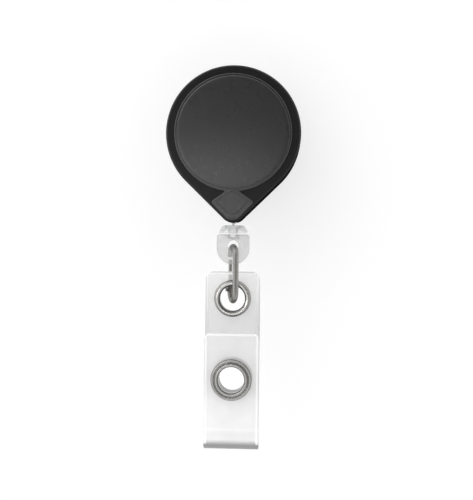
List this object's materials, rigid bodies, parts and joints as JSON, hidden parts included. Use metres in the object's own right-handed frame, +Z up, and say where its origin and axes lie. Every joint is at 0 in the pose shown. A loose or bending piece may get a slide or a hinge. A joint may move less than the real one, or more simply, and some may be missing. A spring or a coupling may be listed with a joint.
{
  "type": "retractable badge reel",
  "caption": "Round retractable badge reel with a belt clip, a spring-wound cord, a swivel snap hook and a folding clear vinyl strap with an open ring snap.",
  "frame": {"origin": "the point on the case's flat back where the belt clip is riveted on", "axes": "+Z up along the strap towards the case, the case's face towards -Y, +X to the right of someone who looks at the face"},
  "size_m": [0.032, 0.0178, 0.0906],
  "materials": {
    "shell_black": "moulded, fine satin grain",
    "face_grey": "smooth satin",
    "drum_grey": "moulded acetal",
    "white_nylon": "smooth nylon",
    "clear_plastic": "clear, polished",
    "frosted_plastic": "frosted, translucent",
    "strap_vinyl": "clear flexible vinyl, faintly frosted",
    "cord_nylon": "braided nylon",
    "nickel_plate": "bright nickel plate",
    "spring_steel": "blued spring strip",
    "clip_steel": "nickel-plated spring steel"
  },
  "bodies": {
    "belt_clip": {"belt_clip": "clip_steel", "clip_rivet": "clip_steel", "clip_washer": "white_nylon"},
    "case": {"front_shell": "shell_black", "rear_shell": "shell_black", "face_plate": "face_grey", "tip_inlay": "face_grey", "spring_arbor": "drum_grey", "cord_guide": "white_nylon", "cord_lead": "cord_nylon"},
    "drum": {"drum": "drum_grey", "drum_cover": "drum_grey", "cord_winding": "cord_nylon", "power_spring": "spring_steel"},
    "cord_end": {"cord_end": "cord_nylon", "cord_knot": "cord_nylon", "stop_collar": "clear_plastic"},
    "tag": {"swivel_barrel": "white_nylon", "eye_tag": "frosted_plastic"},
    "hook": {"hook_body": "nickel_plate", "gate_rivet": "nickel_plate"},
    "gate": {"hook_gate": "nickel_plate"},
    "strap": {"strap_back": "strap_vinyl", "eyelet_grommet": "nickel_plate", "eyelet_washer": "nickel_plate", "snap_post": "nickel_plate", "snap_stud": "nickel_plate"},
    "flap": {"strap_flap": "strap_vinyl", "snap_cap": "nickel_plate", "snap_socket": "nickel_plate"}
  },
  "joints": [
    {"name": "case_swivel", "type": "hinge", "parent": "belt_clip", "child": "case", "pos_m": [0, 0, 0], "axis": [0, 1, 0], "continuous": true},
    {"name": "cord_pull", "type": "slide", "parent": "case", "child": "cord_end", "axis": [0, 0, -1], "range_m": [0, 0.86], "stiffness_N_per_m": 0.5, "springref_m": -1},
    {"name": "drum_spin", "type": "hinge", "parent": "case", "child": "drum", "pos_m": [0, -0.0039, 0], "axis": [0, 1, 0], "range_deg": [0, 4900], "deforming": ["power_spring"]},
    {"name": "tag_swivel", "type": "hinge", "parent": "cord_end", "child": "tag", "pos_m": [0, -0.0039, -0.0236], "axis": [0, 0, 1], "continuous": true},
    {"name": "hook_swing", "type": "hinge", "parent": "tag", "child": "hook", "pos_m": [0, -0.0039, -0.02685], "axis": [0, 1, 0], "range_deg": [-75, 75]},
    {"name": "gate_open", "type": "hinge", "parent": "hook", "child": "gate", "pos_m": [-0.00083, -0.00081, -0.0364], "axis": [0.9659, 0.2588, 0], "range_deg": [0, 18], "stiffness_Nm_per_rad": 0.004, "springref_deg": -28.65},
    {"name": "strap_swing", "type": "hinge", "parent": "hook", "child": "strap", "pos_m": [0, -0.0039, -0.03975], "axis": [0, 1, 0], "range_deg": [-28, 28]},
    {"name": "flap_open", "type": "hinge", "parent": "strap", "child": "flap", "pos_m": [0, -0.0067, -0.0723], "axis": [1, 0, 0], "range_deg": [0, 120]}
  ],
  "couplings": [
    {"joint": "drum_spin", "follows": "cord_pull", "rad_per_m": 98.5}
  ]
}
